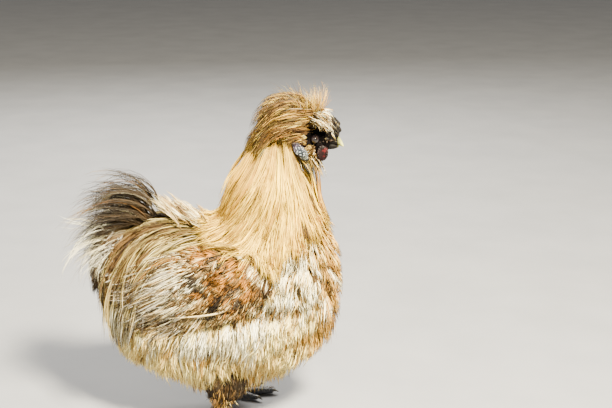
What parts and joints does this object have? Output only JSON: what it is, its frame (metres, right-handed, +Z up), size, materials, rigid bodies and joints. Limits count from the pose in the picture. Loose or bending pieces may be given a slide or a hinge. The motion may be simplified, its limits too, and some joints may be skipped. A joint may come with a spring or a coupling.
{
  "type": "silkie chicken model",
  "caption": "Standing silkie cock: round fluffy body, hackled neck, crest, lumpy comb, wattles, blue earlobes, shredded tail and feathered feet",
  "frame": {"origin": "on the floor, below the middle of the whole bird's length and width", "axes": "+X forward along the bird to its bill, +Y to its left, +Z up"},
  "size_m": [0.3056, 0.1626, 0.3676],
  "materials": {
    "plumage": "matt, fluffy cream feather, warmer tan at the lower fringe",
    "hackle": "soft sheen, golden cream with olive brown streaks",
    "wing_feather": "rust, brown and black flecks, shredded",
    "tail_feather": "grey and black with pale and tan tips, shredded",
    "skin": "matt, dark mulberry, finely wrinkled",
    "comb": "matt, dark grey mulberry, lumpy",
    "wattle": "maroon red, wrinkled, pale edge",
    "lobe": "smooth turquoise grey, purple at the top",
    "horn": "satin, dark slate at the root, pale yellow green tip",
    "eye": "wet gloss, near black",
    "scale": "dull slate scales"
  },
  "bodies": {
    "root": {"torso": "plumage", "neck": "hackle", "crest": "hackle", "head": "skin", "tail": "tail_feather", "comb": "comb", "beak_upper": "horn", "beak_lower": "horn", "eye_left": "eye", "wattle_left": "wattle", "earlobe_left": "lobe", "wing_left": "wing_feather", "thigh_left": "plumage", "shank_left": "scale", "foot_left": "scale", "eye_right": "eye", "wattle_right": "wattle", "earlobe_right": "lobe", "wing_right": "wing_feather", "thigh_right": "plumage", "shank_right": "scale", "foot_right": "scale"}
  },
  "joints": []
}
